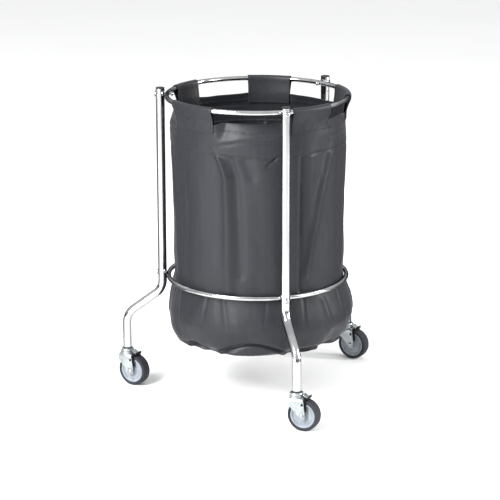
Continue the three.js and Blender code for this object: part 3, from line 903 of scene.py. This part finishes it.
def base_rows(A):
    """The rows from low on the wall, round the base seam and across the base."""
    h = np.zeros_like(A)
    for a, up, half in ARCHES:
        h = np.maximum(h, up * np.cos(np.clip(wrap(A - a) / half, -1, 1) * math.pi / 2) ** 1.15)
    t = smoothstep(h / 0.014)
    zs = 0.1505 + h
    foot = np.interp(wrap(A), FOOT_A, FOOT_B)
    c, s = math.cos(rad(VIEW_AZ)), math.sin(rad(VIEW_AZ))

    def ringed(r, z, shift=0.005):
        th = np.radians(A)
        x, y = r * np.sin(th) + shift, -r * np.cos(th)
        return np.stack([CX + x * c - y * s, CY + x * s + y * c, z + 0 * A], -1)

    mix = lambda a, b: a * (1 - t[:, None]) + b * t[:, None]
    out = foot
    keys = [
        wall_point(A, np.full_like(A, 0.246)),
        wall_point(A, np.full_like(A, 0.234)),
        wall_point(A, np.full_like(A, 0.216)),
        wall_point(A, 0.200 + 0.006 * t),
        mix(ringed(0.2275 + (out - 0.212) * 0.2, 0.1800, 0.0058), ringed(0.2262, zs + 0.0105, 0.0070)),
        mix(ringed(0.2232 + (out - 0.212) * 0.4, 0.1675, 0.005), ringed(0.2215, zs + 0.0030, 0.0066)),
        mix(ringed(0.2160 + (out - 0.212) * 0.75, 0.1590, 0.0048), ringed(0.2110, zs + 0.0012, 0.006)),
        mix(ringed(out - 0.0020, 0.1535, 0.0046), ringed(0.2105, zs - 0.0040, 0.006)),
        mix(ringed(out - 0.0035, 0.1508, 0.0044), ringed(0.2160, zs - 0.0115, 0.006)),
        mix(ringed(out - 0.0070, 0.1485, 0.0042), ringed(out - 0.0005, 0.1515, 0.0048)),
        mix(ringed(out - 0.0170, 0.1472, 0.004), ringed(out - 0.0105, 0.1474, 0.0044)),
        ringed(0.176, 0.1470, 0.004),
    ]
    ext = np.array(keys)
    rows = []
    for i in range(1, len(ext) - 2):
        p0, p1, p2, p3 = ext[i - 1], ext[i], ext[i + 1], ext[i + 2]
        for k in range(4):
            u = k / 4
            rows.append(
                0.5 * (2 * p1 + (p2 - p0) * u + (2 * p0 - 5 * p1 + 4 * p2 - p3) * u * u + (3 * p1 - p0 - 3 * p2 + p3) * u**3)
            )
    rows.append(ext[-2])
    for r in (0.176, 0.162, 0.146, 0.128, 0.110, 0.092, 0.074, 0.056, 0.038, 0.021, 0.006):
        wobble = field(A * 1.0, np.full_like(A, 2.0 + r * 3), 60 * r / 0.215, 1, 9) * 0.0012
        rows.append(ringed(r, 0.1478 + 0.0012 * smoothstep((0.12 - r) / 0.12) + wobble * smoothstep(r / 0.05), 0.004))
    return rows


def shell(name, rows, thick, material, base_from, closed_end):
    """A sheet of cloth with two faces: rows of points from the rim down, each running right round."""
    P = np.array(rows)
    n, m = P.shape[:2]
    du = np.gradient(P, axis=0)
    dv = np.roll(P, -1, 1) - np.roll(P, 1, 1)
    N = np.cross(dv, -du)
    N /= np.linalg.norm(N, axis=2, keepdims=True) + 1e-12
    mid = P.mean(axis=(0, 1))
    out = P[:, :, :2] - mid[:2]
    if (N[: n // 2, :, 0] * out[: n // 2, :, 0] + N[: n // 2, :, 1] * out[: n // 2, :, 1]).mean() < 0:
        N = -N
    T = np.asarray(thick)[:, None, None]
    inner = P - N * T
    rim = [
        P[0] - N[0] * T[0] * 0.18 + np.array([0, 0, 1.0]) * T[0, 0, 0] * 0.32,
        P[0] - N[0] * T[0] * 0.50 + np.array([0, 0, 1.0]) * T[0, 0, 0] * 0.45,
        P[0] - N[0] * T[0] * 0.82 + np.array([0, 0, 1.0]) * T[0, 0, 0] * 0.32,
    ]
    allrows = list(P[::-1]) + rim + list(inner)
    step = np.linalg.norm(np.diff(P, axis=0), axis=2).mean(1)
    arc_len = np.concatenate([[0], np.cumsum(step)])
    vlist = list(arc_len[::-1]) + [-0.0005, -0.001, -0.0015] + list(arc_len * 1.0)
    verts = np.concatenate(allrows)
    R = len(allrows)
    faces, uvs = [], []
    circ = 2 * math.pi * 0.215
    for i in range(R - 1):
        flat = (i < n - base_from) or (i >= n + 3 + base_from - 1)
        for j in range(m):
            k = (j + 1) % m
            quad = (i * m + j, i * m + k, (i + 1) * m + k, (i + 1) * m + j)
            faces.append(quad)
            if flat:
                uvs += [(verts[q][0] + 3.0, verts[q][1]) for q in quad]
            else:
                u0, u1 = circ * j / m, circ * (j + 1) / m
                uvs += [(u0, vlist[i]), (u1, vlist[i]), (u1, vlist[i + 1]), (u0, vlist[i + 1])]
    # the middle of the base, outside and inside
    for row in (0, R - 1):
        loop = [row * m + j for j in range(m)]
        faces.append(tuple(loop))
        uvs += [(verts[q][0] + 3.0, verts[q][1]) for q in loop]
    return build_wound(name, verts, faces, uvs, material)


def build_wound(name, verts, faces, uvs, material, angle=60.0):
    ob = build(name, verts, faces, material, uvs=uvs, angle=angle)
    bm = bmesh.new()
    bm.from_mesh(ob.data)
    bmesh.ops.recalc_face_normals(bm, faces=bm.faces)
    bm.to_mesh(ob.data)
    bm.free()
    return ob


az = np.arange(COLS) * 360.0 / COLS
heights = list(np.arange(RIM_Z, 0.6401, -0.0017)) + list(np.arange(0.639, 0.2349, -0.0040))
A2, Z2 = np.meshgrid(az, np.array(heights))
wall = wall_point(A2, Z2)
base = base_rows(az)
rows = list(wall) + base
thick = [FABRIC_T + (HEM_T - FABRIC_T) * float(smoothstep((z - SEAM_LOW + 0.001) / 0.002)) for z in heights] + [FABRIC_T] * len(base)
bag = shell("bag_body", rows, thick, FABRIC, 11, True)


def stitches(name, places, material, length=0.0030, radius=0.00042):
    """Short thread runs: places are (middle, direction, outward)."""
    verts, faces = [], []
    sides = 6
    for mid, along, outward in places:
        along, outward = Vector(along).normalized(), Vector(outward).normalized()
        side = along.cross(outward).normalized()
        base_i = len(verts)
        steps = [(-0.5, 0.30, -0.5), (-0.36, 0.9, 0.25), (0.0, 1.0, 0.55), (0.36, 0.9, 0.25), (0.5, 0.30, -0.5)]
        for t, s, lift in steps:
            c = Vector(mid) + along * (t * length) + outward * (lift * radius)
            for i in range(sides):
                a = 2 * math.pi * i / sides
                verts.append(c + side * (radius * s * math.cos(a)) + outward * (radius * s * math.sin(a)))
        for k in range(len(steps) - 1):
            for i in range(sides):
                j = (i + 1) % sides
                faces.append((base_i + k * sides + i, base_i + k * sides + j, base_i + (k + 1) * sides + j, base_i + (k + 1) * sides + i))
        faces.append(tuple(base_i + i for i in range(sides - 1, -1, -1)))
        faces.append(tuple(base_i + (len(steps) - 1) * sides + i for i in range(sides)))
    ob = build(name, verts, faces, material, angle=70)
    bm = bmesh.new()
    bm.from_mesh(ob.data)
    bmesh.ops.recalc_face_normals(bm, faces=bm.faces)
    bm.to_mesh(ob.data)
    bm.free()
    return ob


def in_tab(theta):
    return any(t0 - 0.4 < (theta % 360) < t1 + 0.4 for t0, t1 in TABS.values())


def seam_places(z, pitch, skip_tabs):
    n = int(2 * math.pi * 0.217 / pitch)
    a = np.arange(n) * 360.0 / n
    p = wall_point(a, np.full(n, z))
    q = wall_point(a + 0.3, np.full(n, z))
    up = wall_point(a, np.full(n, z + 0.001))
    out = []
    for i in range(n):
        if skip_tabs and in_tab(a[i] + VIEW_AZ):
            continue
        along = Vector(q[i] - p[i]).normalized()
        normal = along.cross(Vector(up[i] - p[i])).normalized()
        out.append((Vector(p[i]) + normal * 0.0002, along, normal))
    return out


seams = stitches("bag_stitching", seam_places(SEAM_TOP, 0.0044, True) + seam_places(SEAM_LOW + 0.0028, 0.0044, False), THREAD)
put(bag, "frame", "bag_shell")
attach(seams, "frame")


# ----------------------------------------------------------------------- tabs
def tab_path():
    pts = [(0.2199, 0.7030), (0.2202, 0.7090), (0.2207, 0.7180), (0.2222, 0.7290), (0.2258, 0.7400), (0.2300, 0.7500)]
    pts += [(RING_R + 0.0076 * math.cos(rad(t)), RING_Z + 0.0076 * math.sin(rad(t))) for t in (-12, 8, 30, 52, 74, 96, 118, 140, 162, 182)]
    pts += [(0.2168, 0.7480), (0.2155, 0.7360), (0.2140, 0.7240), (0.2134, 0.7120), (0.2132, 0.6985)]
    P = np.array(pts)
    d = np.concatenate([[0], np.cumsum(np.linalg.norm(np.diff(P, axis=0), axis=1))])
    s = np.linspace(0, d[-1], 64)
    return np.stack([hermite(s, d, P[:, 0]), hermite(s, d, P[:, 1])], 1), s


def tab(name, t0, t1, seed):
    path, s = tab_path()
    n, m = len(path), 46
    w = np.linspace(0, 1, m)
    # both edges wander a little, as a strip's do once it is sewn and pulled over a bar
    S, W = np.meshgrid(s, w, indexing="ij")
    th = t0 + (t1 - t0) * W
    free = np.abs(np.hypot(path[:, 0] - RING_R, path[:, 1] - RING_Z) - 0.0076)
    free = smoothstep(free / 0.008)[:, None]
    f1 = np.array([[noise.noise(Vector((a * 2.2 + seed * 5.1, b * 14, 0.3))) for b in (w - 0.5) * 0.5] for a in s * 22])
    f2 = np.array([[noise.noise(Vector((a * 1.1 + seed * 3.7, b * 60, 4.1))) for b in (w - 0.5) * 0.5] for a in s * 40])
    edge = np.minimum(W, 1 - W)
    lean = (f1[:, :1] * 0 + 0.35) * np.sin(s[:, None] * 30 + seed) * (W - 0.5)
    th = th + lean * free
    outer = (S < s[-1] * 0.45)
    lift = np.where(outer, np.clip(free * (f1 * 0.0016 + f2 * 0.0006), -0.0002, 0.003), 0.0)
    lift = lift * smoothstep(S / 0.010)
    low_edge = np.where(outer, 0.0, 0.0)
    r = path[:, :1] + lift + low_edge
    z = path[:, 1:] + 0 * W
    # the tab's lower ends sit level, just below the height of the bag's upper seam
    rad_th = np.radians(th)
    P = np.stack([CX + r * np.sin(rad_th), CY - r * np.cos(rad_th), z], -1)
    du, dv = np.gradient(P, axis=0), np.gradient(P, axis=1)
    N = np.cross(dv, du)
    N /= np.linalg.norm(N, axis=2, keepdims=True)
    out0 = np.stack([np.sin(rad_th[0]), -np.cos(rad_th[0]), 0 * rad_th[0]], -1)
    if (N[0] * out0).sum() < 0:
        N = -N
    # turned-in edges are thicker, behind a stitched line
    width = rad(t1 - t0) * RING_R
    hem = smoothstep((0.0075 - edge * width) / 0.0012)
    stitch_line = np.exp(-(((edge * width - 0.0058) / 0.0009) ** 2))
    T = TAB_T / 2 + 0.00035 * hem - 0.0003 * stitch_line
    T = T * (0.55 + 0.45 * smoothstep(edge * width / 0.0012))
    top = P + N * T[:, :, None]
    bottom = P - N * (TAB_T / 2)
    verts = np.concatenate([top.reshape(-1, 3), bottom.reshape(-1, 3)])
    off = n * m
    faces, uvs = [], []

    def uv(q):
        q = q % off
        return (w[q % m] * width + seed * 0.37, s[q // m] + 5.0)

    def add(*q):
        faces.append(q)
        uvs.extend(uv(x) for x in q)

    for i in range(n - 1):
        for j in range(m - 1):
            a, b, c, d = i * m + j, i * m + j + 1, (i + 1) * m + j + 1, (i + 1) * m + j
            add(a, b, c, d)
            add(off + d, off + c, off + b, off + a)
    for i in range(n - 1):
        add(i * m, (i + 1) * m, off + (i + 1) * m, off + i * m)
        k = m - 1
        add(i * m + k, off + i * m + k, off + (i + 1) * m + k, (i + 1) * m + k)
    for j in range(m - 1):
        add(j, off + j, off + j + 1, j + 1)
        k = (n - 1) * m
        add(k + j, k + j + 1, off + k + j + 1, off + k + j)
    ob = build_wound(f"tab_{name}", verts, faces, uvs, FABRIC_TAB)
    # stitching along both side edges of the outer leg, and across the lower end
    places = []
    pitch = 0.0044
    last = int(n * 0.36)
    for col in (int(round(0.0058 / width * (m - 1))), m - 1 - int(round(0.0058 / width * (m - 1)))):
        dist = 0.004
        while dist < s[last]:
            i = int(np.searchsorted(s, dist))
            along = Vector(top[i + 1, col] - top[i - 1, col])
            places.append((Vector(top[i, col]) + Vector(N[i, col]) * 0.0002, along, Vector(N[i, col])))
            dist += pitch
    i = int(np.searchsorted(s, 0.0035))
    dist = 0.008
    while dist < width - 0.008:
        x = dist / width * (m - 1)
        j, f = int(x), x - int(x)
        p = Vector(top[i, j] * (1 - f) + top[i, min(j + 1, m - 1)] * f)
        along = Vector(top[i, min(j + 1, m - 1)] - top[i, j])
        places.append((p + Vector(N[i, j]) * 0.0002, along, Vector(N[i, j])))
        dist += pitch
    st = stitches(f"tab_{name}_stitching", places, THREAD)
    put(ob, "frame", f"bag_tab_{name}")
    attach(st, "frame")


for i, (name, (t0, t1)) in enumerate(TABS.items()):
    tab(name, t0, t1, i + 1.0)


# ----------------------------------------------------------- floor and light
def floor_and_light():
    me = bpy.data.meshes.new("floor")
    d = 30.0
    me.from_pydata([(-d, -d, 0), (d, -d, 0), (d, d, 0), (-d, d, 0)], [], [(0, 1, 2, 3)])
    ob = bpy.data.objects.new("floor", me)
    scene.collection.objects.link(ob)
    n = Nodes("floor")
    v = n.coords()
    me.materials.append(n.set(Base_Color=n.ramp(n.noise(v, 1.5, 2), (0.885, 0.885, 0.885), (0.90, 0.90, 0.90)), Roughness=0.85, Specular_IOR_Level=0.1))

    scene.view_settings.view_transform = "Standard"
    world = bpy.data.worlds.new("room")
    scene.world = world
    world.use_nodes = True
    tree = world.node_tree
    bg = tree.nodes["Background"]
    tc = tree.nodes.new("ShaderNodeTexCoord")
    sep = tree.nodes.new("ShaderNodeSeparateXYZ")
    ramp = tree.nodes.new("ShaderNodeValToRGB")
    mr = tree.nodes.new("ShaderNodeMapRange")
    mr.inputs["From Min"].default_value = -0.1
    mr.inputs["From Max"].default_value = 1.0
    tree.links.new(tc.outputs["Generated"], sep.inputs[0])
    tree.links.new(sep.outputs["Z"], mr.inputs["Value"])
    tree.links.new(mr.outputs["Result"], ramp.inputs["Fac"])
    e = ramp.color_ramp.elements
    e[0].position, e[0].color = 0.0, (0.22, 0.225, 0.23, 1)
    e[1].position, e[1].color = 1.0, (1.0, 1.0, 1.0, 1)
    for at, level in ((0.20, 0.22), (0.32, 0.80)):
        m = ramp.color_ramp.elements.new(at)
        m.color = (level, level * 1.01, level * 1.02, 1)
    tree.links.new(ramp.outputs["Color"], bg.inputs["Color"])
    bg.inputs["Strength"].default_value = 1.0

    def area(name, at, target, size, power):
        light = bpy.data.lights.new(name, "AREA")
        light.shape, light.size, light.size_y = "RECTANGLE", size[0], size[1]
        light.energy = power
        o = bpy.data.objects.new(name, light)
        scene.collection.objects.link(o)
        turn = Matrix.Rotation(rad(VIEW_AZ), 4, "Z")
        p = turn @ Vector(at)
        o.location = p
        o.rotation_mode = "QUATERNION"
        o.rotation_quaternion = (Vector(target) - p).to_track_quat("-Z", "Y")

    # dark cards beside the trolley, seen only in its bright metal
    card = Nodes("card")
    card.set(Base_Color=card.ramp(card.noise(card.coords(), 2, 2), (0.10, 0.10, 0.105), (0.16, 0.16, 0.165)), Roughness=0.9)
    for side in (-1, 1):
        me = bpy.data.meshes.new("card")
        pts = [(side * 0.42, 0.10), (side * 4.0, -0.9), (side * 4.0, 4.0), (side * 0.80, 4.0)]
        turn = Matrix.Rotation(rad(VIEW_AZ), 4, "Z")
        me.from_pydata([tuple(turn @ Vector((x + CX, y + CY, 0.002))) for x, y in pts], [], [(0, 1, 2, 3)])
        me.materials.append(card.mat)
        o = bpy.data.objects.new("card_left" if side < 0 else "card_right", me)
        scene.collection.objects.link(o)
        o.visible_camera = o.visible_diffuse = o.visible_shadow = o.visible_transmission = False

    area("key", (-2.6, -2.4, 3.4), (0, 0, 0.4), (1.8, 1.8), 300)
    area("strip", (-2.0, -2.25, 1.3), (0, 0, 0.45), (0.22, 2.2), 95)
    area("rim", (3.0, -0.1, 1.3), (0, 0, 0.45), (0.25, 2.2), 85)
    area("fill", (3.2, -1.6, 2.2), (0, 0, 0.4), (1.0, 2.2), 50)


floor_and_light()
